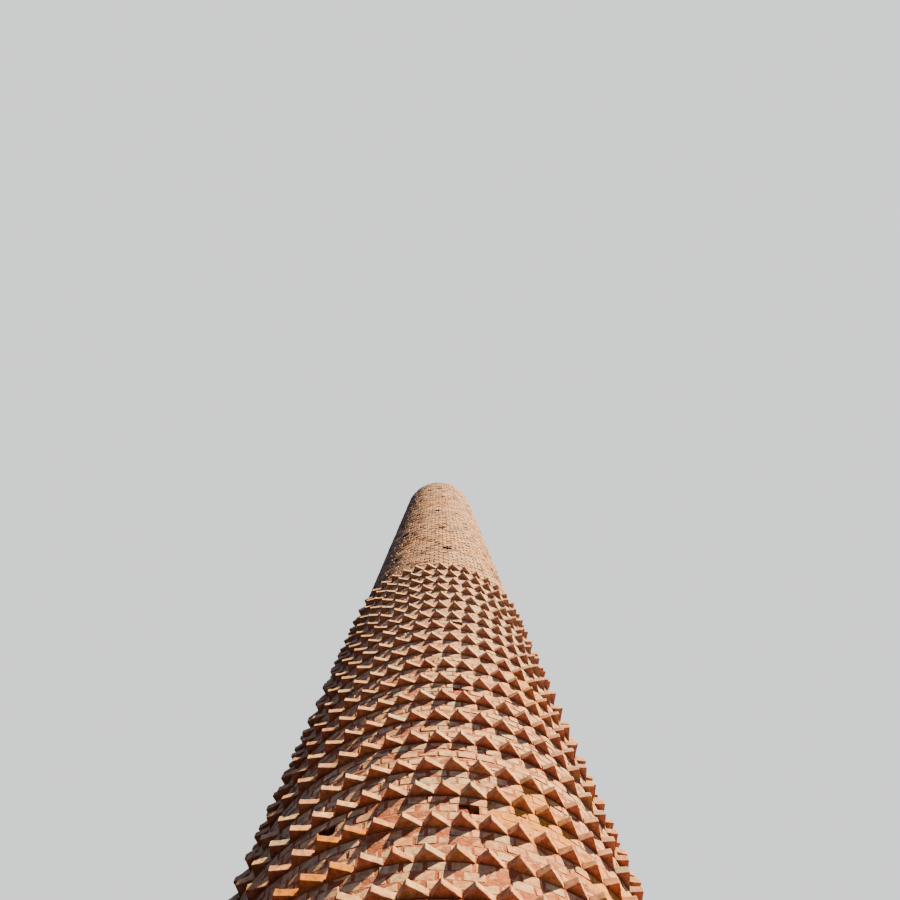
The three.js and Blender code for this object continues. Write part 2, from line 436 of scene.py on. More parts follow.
def out(node):
    """The first output of a node that is in use."""
    return next(socket for socket in node.outputs if socket.enabled)


def wire(tree, source, target):
    """Joins an output to an input, or sets the input to a plain value."""
    if isinstance(source, bpy.types.NodeSocket):
        tree.links.new(source, target)
    else:
        target.default_value = source


def add_node(tree, kind, wired=None, **settings):
    """A new node with its settings, and with some inputs wired or set by their names."""
    made = tree.nodes.new(kind)
    for name, value in settings.items():
        setattr(made, name, value)
    for name, source in (wired or {}).items():
        wire(tree, source, pin(made, name))
    return made


def feed(tree, kind, *values, **settings):
    """A new node with its settings, and with its first inputs wired or set in their order."""
    made = add_node(tree, kind, **settings)
    for value, socket in zip(values, made.inputs):
        wire(tree, value, socket)
    return made


def maths(tree, operation, *values):
    return out(feed(tree, "ShaderNodeMath", *values, operation=operation))


def vector_maths(tree, operation, *values):
    return out(feed(tree, "ShaderNodeVectorMath", *values, operation=operation))


def vector_of(tree, x, y, z):
    return out(feed(tree, "ShaderNodeCombineXYZ", x, y, z))


def parts_of(tree, vector):
    return feed(tree, "ShaderNodeSeparateXYZ", vector).outputs


def add_inputs(tree, rows):
    for name, kind, value in rows:
        socket = tree.interface.new_socket(name, in_out="INPUT", socket_type="NodeSocket" + kind)
        if value is not None:
            socket.default_value = value


def random_value(tree, low, high, seed, salt, kind="FLOAT"):
    wired = {"Min": low, "Max": high, "Seed": maths(tree, "ADD", seed, salt)}
    return out(add_node(tree, "FunctionNodeRandomValue", wired, data_type=kind))


def either_way(tree, most, seed, salt):
    """A random value between minus and plus an amount."""
    return random_value(tree, maths(tree, "MULTIPLY", most, -1.0), most, seed, salt)


def named(tree, name, kind="FLOAT"):
    made = add_node(tree, "GeometryNodeInputNamedAttribute", {"Name": name}, data_type=kind)
    return made.outputs["Attribute"]


def stored(tree, geometry, name, value, domain="INSTANCE"):
    wired = {"Geometry": geometry, "Name": name, "Value": value}
    return out(add_node(tree, "GeometryNodeStoreNamedAttribute", wired, data_type="FLOAT", domain=domain))


def near_points(tree, holder, reach):
    """1 where the nearest point of an object is closer than the reach."""
    info = add_node(tree, "GeometryNodeObjectInfo", {"Object": holder})
    near = feed(tree, "GeometryNodeProximity", info.outputs["Geometry"], target_element="POINTS")
    return maths(tree, "LESS_THAN", near.outputs["Distance"], reach)


def placed_shapes(tree, points, shapes, seed, rotation, scale):
    """Shapes picked at random on the points, each with its own tone and tint."""
    box = add_node(tree, "GeometryNodeCollectionInfo", {
        "Collection": shapes, "Separate Children": True, "Reset Children": True,
    })
    made = add_node(tree, "GeometryNodeInstanceOnPoints", {
        "Points": points, "Instance": out(box), "Pick Instance": True,
        "Instance Index": random_value(tree, 0, 63, seed, 1, "INT"),
        "Rotation": rotation, "Scale": scale,
    })
    geometry = stored(tree, out(made), "tone", random_value(tree, 0.0, 1.0, seed, 2))
    return stored(tree, geometry, "tint", random_value(tree, 0.0, 1.0, seed, 3))


def finish_laying(tree, geometry, material):
    """Ends a laying tree: its shapes become one mesh with a material."""
    real = add_node(tree, "GeometryNodeRealizeInstances", {"Geometry": geometry})
    coat = add_node(tree, "GeometryNodeSetMaterial", {"Geometry": out(real), "Material": material})
    tree.interface.new_socket("Geometry", in_out="OUTPUT", socket_type="NodeSocketGeometry")
    feed(tree, "NodeGroupOutput", out(coat))


# How near a marked place must be to a brick's or a tooth's own place.
BRICK_REACH = 0.03
TOOTH_REACH = 0.05


def make_ring_laying():
    """Lays a ring of shapes on each point of a line of courses that stands on the axis."""
    tree = bpy.data.node_groups.new("ring laying", "GeometryNodeTree")
    add_inputs(tree, [
        ("Courses", "Geometry", None),
        ("Shapes", "Collection", None),
        ("Pieces Round", "Int", 60),
        ("Datum Radius", "Float", TOP_ROW_RADIUS),
        ("Datum Height", "Float", TOP_ROW_Z),
        ("Batter", "Float", BATTER),
        ("Joint", "Float", HEAD_JOINT),
        ("Unevenness", "Float", 0.002),
        ("Twist", "Float", 0.01),
        ("Left Out", "Object", None),
        ("Orange Places", "Object", None),
        ("Seed", "Int", 1),
        ("Material", "Material", None),
    ])
    given = add_node(tree, "NodeGroupInput").outputs
    seed, uneven, loose = given["Seed"], given["Unevenness"], given["Twist"]
    height = parts_of(tree, out(add_node(tree, "GeometryNodeInputPosition")))["Z"]

    wired = {"Geometry": given["Courses"], "Amount": given["Pieces Round"]}
    copies = add_node(tree, "GeometryNodeDuplicateElements", wired, domain="POINT")
    slot = maths(tree, "ADD", copies.outputs["Duplicate Index"], named(tree, "bond"))
    step = maths(tree, "DIVIDE", 2 * math.pi, given["Pieces Round"])
    rise = maths(tree, "SUBTRACT", height, given["Datum Height"])
    lean = maths(tree, "MULTIPLY", rise, given["Batter"])
    turn = maths(tree, "MULTIPLY_ADD", slot, step, FRONT)
    radius = maths(tree, "SUBTRACT", given["Datum Radius"], lean)
    kept = stored(tree, copies.outputs["Geometry"], "turn", turn, "POINT")
    kept = stored(tree, kept, "radius", radius, "POINT")

    turn, radius = named(tree, "turn"), named(tree, "radius")
    cosine, sine = maths(tree, "COSINE", turn), maths(tree, "SINE", turn)
    x, y = maths(tree, "MULTIPLY", radius, cosine), maths(tree, "MULTIPLY", radius, sine)
    wired = {"Geometry": kept, "Position": vector_of(tree, x, y, height)}
    placed = out(add_node(tree, "GeometryNodeSetPosition", wired))
    wired = {"Geometry": placed, "Selection": near_points(tree, given["Left Out"], BRICK_REACH)}
    placed = out(add_node(tree, "GeometryNodeDeleteGeometry", wired, domain="POINT"))
    orange = near_points(tree, given["Orange Places"], TOOTH_REACH)
    placed = stored(tree, placed, "orange", orange, "POINT")

    proud, lift = either_way(tree, uneven, seed, 4), either_way(tree, uneven, seed, 9)
    x, y = maths(tree, "MULTIPLY", proud, cosine), maths(tree, "MULTIPLY", proud, sine)
    wired = {"Geometry": placed, "Offset": vector_of(tree, x, y, lift)}
    placed = out(add_node(tree, "GeometryNodeSetPosition", wired))

    twist = either_way(tree, loose, seed, 5)
    dip = either_way(tree, maths(tree, "MULTIPLY", loose, 0.6), seed, 6)
    rotation = vector_of(tree, dip, 0.0, maths(tree, "ADD", turn, twist))
    room = maths(tree, "SUBTRACT", maths(tree, "MULTIPLY", radius, step), given["Joint"])
    width = maths(tree, "MULTIPLY", room, random_value(tree, 0.95, 1.09, seed, 7))
    tall = maths(tree, "MULTIPLY", named(tree, "height"), random_value(tree, 0.95, 1.1, seed, 8))
    geometry = placed_shapes(tree, placed, given["Shapes"], seed, rotation, vector_of(tree, 1.0, width, tall))
    finish_laying(tree, geometry, given["Material"])
    return tree


def make_piece_laying():
    """Lays one shape on each point, turned and sized as the point's own attributes say."""
    tree = bpy.data.node_groups.new("piece laying", "GeometryNodeTree")
    add_inputs(tree, [
        ("Places", "Geometry", None),
        ("Shapes", "Collection", None),
        ("Seed", "Int", 1),
        ("Material", "Material", None),
    ])
    given = add_node(tree, "NodeGroupInput").outputs
    rotation = named(tree, "turned", "FLOAT_VECTOR")
    size = named(tree, "size", "FLOAT_VECTOR")
    geometry = placed_shapes(tree, given["Places"], given["Shapes"], given["Seed"], rotation, size)
    finish_laying(tree, geometry, given["Material"])
    return tree


ring_laying = make_ring_laying()
piece_laying = make_piece_laying()


def settled(maker, name):
    """The plain mesh that an object's modifiers make, as a new object in its place."""
    bpy.context.view_layer.update()
    graph = bpy.context.evaluated_depsgraph_get()
    shown = maker.evaluated_get(graph)
    mesh = bpy.data.meshes.new_from_object(shown, preserve_all_data_layers=True, depsgraph=graph)
    mesh.name = name
    made = link_object(name, mesh)
    bpy.data.objects.remove(maker)
    return made


def points_object(name, points, **attributes):
    """Loose points with their own values, for a tree to read."""
    mesh = bpy.data.meshes.new(name)
    mesh.from_pydata(points, [], [])
    for key, values in attributes.items():
        vector = hasattr(values[0], "__len__")
        layer = mesh.attributes.new(key, "FLOAT_VECTOR" if vector else "FLOAT", "POINT")
        for item, value in zip(layer.data, values):
            setattr(item, "vector" if vector else "value", value)
    return link_object(name, mesh)


def laid(name, tree, maker, values):
    """What a laying tree makes of an object, with the tree's inputs set through their identifiers."""
    modifier = maker.modifiers.new("laying", "NODES")
    modifier.node_group = tree
    for item in tree.interface.items_tree:
        if item.item_type == "SOCKET" and item.in_out == "INPUT" and item.name in values:
            modifier[item.identifier] = values[item.name]
    return settled(maker, name)


NOWHERE = [(0.0, 0.0, -50.0)]


def lay_rings(name, courses, pieces_round, shapes, material, seed, left_out=(), orange=(), joint=HEAD_JOINT,
              unevenness=0.0022, twist=0.014, datum=(TOP_ROW_RADIUS, TOP_ROW_Z), batter=BATTER):
    maker = points_object(
        name + "_courses",
        [(0, 0, course.middle) for course in courses],
        bond=[float(course.bond) for course in courses],
        height=[float(course.high - course.low) for course in courses],
    )
    gone = points_object(name + "_left_out", list(left_out) or NOWHERE)
    reddened = points_object(name + "_orange", list(orange) or NOWHERE)
    piece = laid(name, ring_laying, maker, {
        "Shapes": shape_boxes[shapes], "Pieces Round": pieces_round, "Datum Radius": datum[0],
        "Datum Height": datum[1], "Batter": batter, "Joint": joint, "Unevenness": unevenness, "Twist": twist,
        "Left Out": gone, "Orange Places": reddened, "Seed": seed, "Material": material,
    })
    bpy.data.objects.remove(gone)
    bpy.data.objects.remove(reddened)
    return piece


class SingleBricks:
    """Bricks that are laid one by one: where each stands, how it is turned, and its size."""

    def __init__(self):
        self.places = []
        self.turned = []
        self.sizes = []

    def add(self, place, turned, size):
        self.places.append(place)
        self.turned.append(turned)
        self.sizes.append(size)

    def lay(self, name, shapes, seed, material):
        maker = points_object(name + "_places", self.places, turned=self.turned, size=self.sizes)
        values = {"Shapes": shape_boxes[shapes], "Seed": seed, "Material": material}
        return laid(name, piece_laying, maker, values)


# Shader nodes and the effects that the materials share.


def noise(tree, vector, scale, detail=3.0, roughness=0.55):
    wired = {"Vector": vector, "Scale": scale, "Detail": detail, "Roughness": roughness}
    return add_node(tree, "ShaderNodeTexNoise", wired).outputs["Fac"]


def ranged(tree, value, low, high, to_low=0.0, to_high=1.0):
    """A value eased from one range to another, and held at its ends."""
    wired = {"Value": value, "From Min": low, "From Max": high, "To Min": to_low, "To Max": to_high}
    return out(add_node(tree, "ShaderNodeMapRange", wired, interpolation_type="SMOOTHSTEP"))


def blended(tree, amount, first, second, mode="MIX"):
    colours = [part if isinstance(part, bpy.types.NodeSocket) else (*part, 1.0) for part in (first, second)]
    wired = {"Factor": amount, "A": colours[0], "B": colours[1]}
    return out(add_node(tree, "ShaderNodeMix", wired, data_type="RGBA", blend_type=mode))


def layered(tree, colour, layers):
    """A colour under thin layers of other colours, each given as (mask, strength, colour)."""
    for mask, strength, over in layers:
        colour = blended(tree, maths(tree, "MULTIPLY", mask, strength), colour, over)
    return colour


def grouped(tree, group, **values):
    return add_node(tree, "ShaderNodeGroup", values, node_tree=group).outputs


def shader_group(name, inputs, masks):
    """A new group with these inputs besides its place, and with one output for each mask."""
    tree = bpy.data.node_groups.new(name, "ShaderNodeTree")
    add_inputs(tree, [("Vector", "Vector", None), *inputs])
    for mask in masks:
        tree.interface.new_socket(mask, in_out="OUTPUT", socket_type="NodeSocketFloat")
    return tree, add_node(tree, "NodeGroupInput").outputs, add_node(tree, "NodeGroupOutput").inputs


def wire_patches(tree, vector, masks, patches):
    """Fills masks with ragged patches, each as (mask, shift of the pattern, scale, roughness, low, high)."""
    for name, shift, scale, roughness, low, high in patches:
        pattern = noise(tree, vector_maths(tree, "ADD", vector, shift), scale, 4.0, roughness)
        wire(tree, ranged(tree, pattern, low, high), masks[name])


def make_clay_grain():
    """Fine grain, pits and height of fired clay or mortar."""
    tree, given, masks = shader_group(
        "clay grain", [("Scale", "Float", 1.0)], ["Mottle", "Pits", "Height"],
    )
    coarse, fine, holes = [
        noise(tree, given["Vector"], maths(tree, "MULTIPLY", given["Scale"], scale), detail, roughness)
        for scale, detail, roughness in ((28.0, 4.0, 0.6), (170.0, 3.0, 0.6), (75.0, 2.0, 0.5))
    ]
    pits = ranged(tree, holes, 0.66, 0.74)
    bumps = maths(tree, "MULTIPLY_ADD", fine, 0.35, coarse)
    wire(tree, maths(tree, "MULTIPLY_ADD", fine, 0.4, maths(tree, "MULTIPLY", coarse, 0.6)), masks["Mottle"])
    wire(tree, pits, masks["Pits"])
    wire(tree, maths(tree, "MULTIPLY_ADD", pits, -0.8, bumps), masks["Height"])
    return tree


def make_weather():
    """Large patches of weathering, damp at the foot, soot at the head, and the upper rows of teeth, where a
    cooler, greyer colour is painted as their shade.
    """
    tree, given, masks = shader_group("weather", [], ["Warm", "Pale", "Grey", "Damp", "Soot", "Bleached"])
    where = given["Vector"]
    wire_patches(tree, where, masks, [
        ("Warm", (0, 0, 0), 1.3, 0.6, 0.5, 0.68),
        ("Pale", (13, 5, 2), 1.9, 0.6, 0.5, 0.66),
        ("Grey", (13, 5, 2), 4.2, 0.65, 0.6, 0.7),
    ])
    height = parts_of(tree, where)["Z"]
    level = maths(tree, "ADD", height, maths(tree, "MULTIPLY_ADD", noise(tree, where, 5.0), 0.5, -0.25))
    wire(tree, ranged(tree, level, 0.05, 0.7, 1.0, 0.0), masks["Damp"])
    wire(tree, ranged(tree, level, CHIMNEY_TOP_Z - 0.5, CHIMNEY_TOP_Z + 0.1), masks["Soot"])
    below_shaft = ranged(tree, height, SHAFT_FOOT_Z, SHAFT_FOOT_Z + 0.4, 1.0, 0.15)
    wire(tree, maths(tree, "MULTIPLY", ranged(tree, level, 6.5, 10.5), below_shaft), masks["Bleached"])
    return tree


def make_old_wash():
    """Blotches a few centimetres across: red clay and pale lime washed over the bricks, and lichen."""
    tree, given, masks = shader_group("old wash", [], ["Clay", "Pale", "Lichen", "Ragged"])
    wire_patches(tree, given["Vector"], masks, [
        ("Clay", (0, 0, 0), 16.0, 0.65, 0.56, 0.68),
        ("Pale", (7, 2, 4), 20.0, 0.65, 0.5, 0.62),
        ("Lichen", (3, 17, 8), 14.0, 0.65, 0.6, 0.68),
        ("Ragged", (1, 5, 11), 38.0, 0.65, 0.0, 1.0),
    ])
    return tree


def make_stain():
    """One ragged stain round a place on the wall."""
    inputs = [("Place", "Vector", None), ("Reach", "Float", 0.3)]
    tree, given, masks = shader_group("stain", inputs, ["Mask"])
    away = vector_maths(tree, "DISTANCE", given["Vector"], given["Place"])
    share = maths(tree, "DIVIDE", away, given["Reach"])
    ragged = maths(tree, "MULTIPLY_ADD", noise(tree, given["Vector"], 9.0, 4.0, 0.65), 2.4, -1.2)
    wire(tree, ranged(tree, maths(tree, "ADD", share, ragged), 0.5, 1.0, 1.0, 0.0), masks["Mask"])
    return tree


clay_grain = make_clay_grain()
weather = make_weather()
old_wash = make_old_wash()
stain = make_stain()


def make_tan_stains():
    """All the tan stains of the wall in one mask."""
    tree, given, masks = shader_group("tan stains", [], ["Mask"])
    mask = 0.0
    for degrees, z, reach, strength in TAN_STAINS:
        spot = grouped(tree, stain, Vector=given["Vector"], Place=on_wall(degrees, z), Reach=reach)
        mask = maths(tree, "MAXIMUM", mask, maths(tree, "MULTIPLY", spot["Mask"], strength))
    wire(tree, mask, masks["Mask"])
    return tree


tan_stains = make_tan_stains()


# Materials.


def new_material(name, roughness=0.9):
    """A bare material, its tree, its shader, and the place on the chimney that its patterns read."""
    made = bpy.data.materials.new(name)
    made.use_nodes = True
    tree = made.node_tree
    tree.nodes.clear()
    skin = add_node(tree, "ShaderNodeBsdfPrincipled", {"Roughness": roughness, "Specular IOR Level": 0.1})
    feed(tree, "ShaderNodeOutputMaterial", skin.outputs[0])
    return made, tree, skin, add_node(tree, "ShaderNodeTexCoord").outputs["Object"]


def dress(tree, skin, colour, height, depth, roughness=None):
    """Wires a colour, a bump and, where it changes over the surface, a roughness into a shader."""
    wire(tree, colour, skin.inputs["Base Color"])
    if roughness:
        wire(tree, roughness, skin.inputs["Roughness"])
    bump = add_node(tree, "ShaderNodeBump", {"Strength": 1.0, "Distance": depth, "Height": height})
    wire(tree, out(bump), skin.inputs["Normal"])


def attribute(tree, name):
    return add_node(tree, "ShaderNodeAttribute", attribute_name=name).outputs["Fac"]


def palette(tree, value, stops):
    made = add_node(tree, "ShaderNodeValToRGB", {"Fac": value})
    elements = made.color_ramp.elements
    elements.remove(elements[1])
    for position, colour in stops:
        stop = elements.new(position) if position > 0 else elements[0]
        stop.color = (*colour, 1.0)
    return made.outputs["Color"]


def mottled(tree, colour, grain, low, high, dark, light):
    """A colour made darker and lighter by its clay's mottle."""
    shade = ranged(tree, grain["Mottle"], low, high, dark, light)
    return blended(tree, 1.0, colour, vector_of(tree, shade, shade, shade), "MULTIPLY")


def face_normal(tree):
    return add_node(tree, "ShaderNodeNewGeometry").outputs["True Normal"]


def underside(tree):
    """1 on faces that look down, where shade is painted into the colour."""
    return ranged(tree, parts_of(tree, face_normal(tree))["Z"], -0.3, -0.8)


def left_facing_shade(tree, where):
    """1 on upright faces that turn far to the left of the wall's outward direction, away from the key light,
    where shade is painted into the colour.
    """
    cross = vector_maths(tree, "CROSS_PRODUCT", face_normal(tree), where)
    return ranged(tree, parts_of(tree, cross)["Z"], 0.5, 1.0)


def header_edge(tree):
    """How far a place on a brick's end is from the nearest joint, in metres."""
    away = []
    for name, half in (("across", 0.052), ("up", 0.0275)):
        away.append(maths(tree, "MULTIPLY_ADD", maths(tree, "ABSOLUTE", attribute(tree, name)), -half, half))
    return maths(tree, "MINIMUM", *away)


def tooth_edge(tree):
    """A tooth meets mortar only where it comes out of the wall."""
    return attribute(tree, "out")


def weathered_brick(name, stops, warm, smear, edge=header_edge, underside_shade=UNDERSIDE_SHADE_CLAY, sooty=0.0):
    """Fired brick. Edge is how its distance from the joints is found, and smear is their mortar's colour.
    Underside shade is the colour painted as shade on its faces that look down or to the left.
    """
    made, tree, skin, where = new_material(name)
    patches = grouped(tree, weather, Vector=where)
    grain = grouped(tree, clay_grain, Vector=where)
    washed = grouped(tree, old_wash, Vector=where)
    stained = grouped(tree, tan_stains, Vector=where)["Mask"]
    tint = attribute(tree, "tint")
    ragged = ranged(tree, washed["Ragged"], 0.25, 0.75, -0.008, 0.006)
    smeared = ranged(tree, maths(tree, "SUBTRACT", edge(tree), ragged), 0.002, -0.002)
    # Painted shade on faces that look down or to the left: darkest where they meet the wall, mossier on some
    # bricks at random, and cooler and greyer on the upper rows.
    deep = tuple(0.4 * part for part in underside_shade)
    shade_colour = blended(tree, ranged(tree, attribute(tree, "out"), 0.0, 0.035), deep, underside_shade)
    shade_colour = blended(tree, ranged(tree, tint, 0.5, 0.95, 0.0, 0.7), shade_colour, MOSSY_CLAY)
    shade_colour = layered(tree, shade_colour, [(patches["Bleached"], 0.7, UPPER_ROWS_UNDERSIDE_SHADE_CLAY)])
    half_left_shade = maths(tree, "MULTIPLY", left_facing_shade(tree, where), 0.5)
    painted_shade_faces = maths(tree, "MAXIMUM", underside(tree), half_left_shade)
    colour = layered(tree, palette(tree, attribute(tree, "tone"), stops), [
        (patches["Warm"], ranged(tree, tint, 0.1, 0.9, 0.15, 0.8), warm),
        (patches["Pale"], 0.35, PALE_CLAY),
        (patches["Grey"], ranged(tree, tint, 0.5, 1.0, 0.0, 0.7), GREY_CLAY),
        (washed["Pale"], 0.7, PALE_CLAY),
        (washed["Lichen"], 0.6, LICHEN),
        # painted cooler, greyer shade on the upper rows of teeth
        (patches["Bleached"], 0.3, UPPER_ROWS_SHADE_TINT_CLAY),
        (stained, ranged(tree, tint, 0.2, 0.8, 0.7, 1.0), TAN_STAIN),
        (washed["Clay"], 0.3, smear),
        (smeared, 0.7, smear),
        (attribute(tree, "orange"), 1.0, ORANGE_CLAY),
        # painted shadow in the pits
        (grain["Pits"], 0.6, PIT_SHADOW_CLAY),
        # painted shade on faces that look down or to the left
        (painted_shade_faces, 0.85, shade_colour),
    ])
    colour = mottled(tree, colour, grain, 0.32, 0.66, 0.38, 1.02)
    colour = layered(tree, colour, [(patches["Damp"], 0.6, DAMP_CLAY)])
    if sooty:
        colour = layered(tree, colour, [(patches["Soot"], sooty, SOOT)])
    roughness = ranged(tree, grain["Mottle"], 0.3, 0.7, 0.82, 0.98)
    dress(tree, skin, colour, grain["Height"], 0.003, roughness)
    return made


def clay_mortar(name, light, dark, warm):
    made, tree, skin, where = new_material(name)
    patches = grouped(tree, weather, Vector=where)
    grain = grouped(tree, clay_grain, Vector=where, Scale=0.8)
    washed = grouped(tree, old_wash, Vector=where)
    colour = blended(tree, ranged(tree, grain["Mottle"], 0.38, 0.6), dark, light)
    colour = layered(tree, colour, [
        (patches["Warm"], 0.4, warm),
        # painted cooler, greyer shade on the upper rows of teeth
        (patches["Bleached"], 0.4, UPPER_ROWS_SHADE_TINT_MORTAR),
        (patches["Pale"], 0.12, PALE_MORTAR),
        (washed["Pale"], 0.22, LIMED_MORTAR),
        (washed["Lichen"], 0.3, MORTAR_LICHEN),
        (grouped(tree, tan_stains, Vector=where)["Mask"], 0.7, TAN_STAIN),
        # painted shadow in the pits
        (grain["Pits"], 0.7, PIT_SHADOW_MORTAR),
        (patches["Damp"], 0.6, DAMP_MORTAR),
    ])
    roughness = ranged(tree, grain["Mottle"], 0.3, 0.7, 0.88, 1.0)
    dress(tree, skin, colour, grain["Height"], 0.008, roughness)
    return made


def shade_darkened_clay(name, dark, light):
    """Dark clay with painted shade: the broken brick ends left in the holes, whose red clay is darkened
    further, and the near-black beds in the putlog holes.
    """
    made, tree, skin, where = new_material(name, roughness=0.95)
    grain = grouped(tree, clay_grain, Vector=where)
    colour = blended(tree, ranged(tree, grain["Mottle"], 0.4, 0.6), dark, light)
    dress(tree, skin, colour, grain["Height"], 0.006)
    return made


# Smoked bricks of the bore and the hearth: two tones of brick, their mortar, and the ash on them.
LINING_COLOURS = [(0.07, 0.045, 0.035), (0.12, 0.06, 0.04), (0.035, 0.03, 0.027)]
LINING_ASH = (0.2, 0.17, 0.14)
HEARTH_COLOURS = [(0.2, 0.09, 0.055), (0.29, 0.13, 0.075), (0.12, 0.09, 0.07)]
HEARTH_ASH = (0.17, 0.15, 0.13)
SMOKED_BRICK_LENGTH = 0.22
LINING_BRICKS_ROUND = 24
HEARTH_COURSE = 0.115


def brick_courses(tree, vector, row_height, colours):
    """A pattern of smooth old bricks in two tones with mortar: its colour, and 1 in its joints."""
    first, second, mortar = [(*colour, 1.0) for colour in colours]
    return add_node(tree, "ShaderNodeTexBrick", {
        "Vector": vector, "Color1": first, "Color2": second, "Mortar": mortar,
        "Scale": 1.0, "Mortar Size": 0.006, "Mortar Smooth": 0.3,
        "Brick Width": SMOKED_BRICK_LENGTH, "Row Height": row_height,
    }, offset=0.5).outputs


def dress_courses(tree, skin, colour, bricks, grain, roughest):
    """Finishes a surface of drawn bricks, with its joints sunk."""
    height = maths(tree, "MULTIPLY_ADD", bricks["Fac"], -2.0, grain["Height"])
    dress(tree, skin, colour, height, 0.004, ranged(tree, grain["Mottle"], 0.3, 0.7, 0.85, roughest))


def sooty_lining():
    """The inner face of the wall: smoked brick courses, drawn by height and by the way round."""
    made, tree, skin, where = new_material("sooty lining")
    parts = parts_of(tree, where)
    turn = maths(tree, "ARCTAN2", parts["Y"], parts["X"])
    along = maths(tree, "MULTIPLY", turn, LINING_BRICKS_ROUND * SMOKED_BRICK_LENGTH / (2 * math.pi))
    flat = vector_of(tree, along, parts["Z"], 0.0)
    bricks = brick_courses(tree, flat, COURSE, LINING_COLOURS)
    grain = grouped(tree, clay_grain, Vector=where, Scale=0.8)
    ash = ranged(tree, noise(tree, where, 2.2, 5.0, 0.6), 0.52, 0.72, 0.0, 0.5)
    colour = mottled(tree, bricks["Color"], grain, 0.3, 0.7, 0.55, 1.3)
    colour = blended(tree, ash, colour, LINING_ASH)
    dress_courses(tree, skin, colour, bricks, grain, 0.98)
    return made


def hearth_paving():
    """Brick paving of the hearth, under ash."""
    made, tree, skin, where = new_material("hearth paving")
    bricks = brick_courses(tree, where, HEARTH_COURSE, HEARTH_COLOURS)
    grain = grouped(tree, clay_grain, Vector=where)
    ash = ranged(tree, noise(tree, where, 3.0, 5.0, 0.6), 0.45, 0.65, 0.0, 0.85)
    colour = blended(tree, ash, bricks["Color"], HEARTH_ASH)
    colour = mottled(tree, colour, grain, 0.3, 0.7, 0.7, 1.15)
    dress_courses(tree, skin, colour, bricks, grain, 1.0)
    return made


wall_brick = weathered_brick(
    "weathered wall brick",
    [(0.0, (0.5, 0.3, 0.145)), (0.14, (0.45, 0.36, 0.2)), (0.28, (0.52, 0.26, 0.13)),
     (0.42, (0.55, 0.34, 0.165)), (0.58, (0.5, 0.235, 0.08)), (0.7, (0.54, 0.3, 0.15)),
     (0.88, (0.43, 0.35, 0.19)), (1.0, (0.56, 0.36, 0.185))],
    warm=(0.46, 0.17, 0.06), smear=(0.36, 0.12, 0.05),
)
shaft_brick = weathered_brick(
    "weathered shaft brick",
    [(0.0, (0.37, 0.2, 0.095)), (0.14, (0.11, 0.045, 0.024)), (0.27, (0.44, 0.24, 0.115)),
     (0.5, (0.24, 0.1, 0.048)), (0.76, (0.52, 0.32, 0.17)), (0.9, (0.33, 0.135, 0.068)),
     (1.0, (0.29, 0.21, 0.11))],
    warm=(0.47, 0.175, 0.09), smear=(0.3, 0.11, 0.05), sooty=0.25,
)
tooth_brick = weathered_brick(
    "weathered tooth brick",
    [(0.0, (0.45, 0.2, 0.075)), (0.2, (0.54, 0.3, 0.135)), (0.4, (0.43, 0.175, 0.065)),
     (0.6, (0.6, 0.37, 0.18)), (0.78, (0.51, 0.27, 0.125)), (0.9, (0.47, 0.38, 0.22)),
     (1.0, (0.42, 0.37, 0.22))],
    warm=(0.47, 0.19, 0.075), smear=(0.4, 0.15, 0.07), edge=tooth_edge,
)
# The flue mouth's bricks, with near-black painted shade on their faces that look down or to the left.
flue_brick = weathered_brick(
    "flue mouth brick",
    [(0.0, (0.26, 0.12, 0.065)), (0.3, (0.3, 0.15, 0.08)), (0.7, (0.22, 0.1, 0.055)),
     (1.0, (0.18, 0.08, 0.045))],
    warm=(0.24, 0.1, 0.045), smear=(0.18, 0.09, 0.055), underside_shade=(0.05, 0.03, 0.02),
)
wall_mortar = clay_mortar(
    "pink clay mortar", light=(0.34, 0.145, 0.078), dark=(0.19, 0.072, 0.038), warm=(0.31, 0.12, 0.052),
)
wall_head_mortar = clay_mortar(
    "red clay mortar", light=(0.26, 0.07, 0.025), dark=(0.15, 0.042, 0.018), warm=(0.28, 0.08, 0.026),
)
shaft_mortar = clay_mortar(
    "brown clay mortar", light=(0.12, 0.038, 0.018), dark=(0.035, 0.013, 0.008), warm=(0.14, 0.042, 0.016),
)
# The broken brick ends: dark red clay, darkened further as painted shade.
shaded_broken_brick = shade_darkened_clay("burnt brick core", (0.08, 0.016, 0.005), (0.26, 0.045, 0.014))
# The putlog hole beds: near-black, as painted shade inside the holes.
hole_shade_clay = shade_darkened_clay("soot in the holes", (0.012, 0.006, 0.004), (0.04, 0.016, 0.009))
lining = sooty_lining()
paving = hearth_paving()


# Mortar cores: the wall behind the bricks, with its bore and its holes.

# Joints: the least and the most depth of the mortar behind the brick faces.
FLUSH = (0.004, 0.004)
OVER_BRICKS = (0.0, 0.005)
MID_BED = (-0.001, 0.007)
UNDER_BRICKS = (0.003, 0.02)
UNDER_TEETH = (0.003, 0.024)
LAST_BED = (0.001, 0.006)
SHAFT_HEADS = (0.003, 0.026)
WORN_SHAFT_HEADS = (0.012, 0.036)
WORN_SHAFT_FOOT_Z = 12.8
WORN_SHAFT_TOP_Z = 17.3
THIN_BED = 0.006

# How far a core's rings keep from the bricks over and under them, and from the ends of a head joint.
RING_OVER_BRICKS = 0.001
RING_UNDER_BRICKS = 0.002
RING_IN_HEAD_JOINT = 0.006

# Bands of a core that are taller than this lie between the bricks of one course.
TALL_BAND = 0.04

# Material slots of a core, after its bed mortar.
LINING_FACES = 1
HOLE_FACES = 2
HEAD_FACES = 3


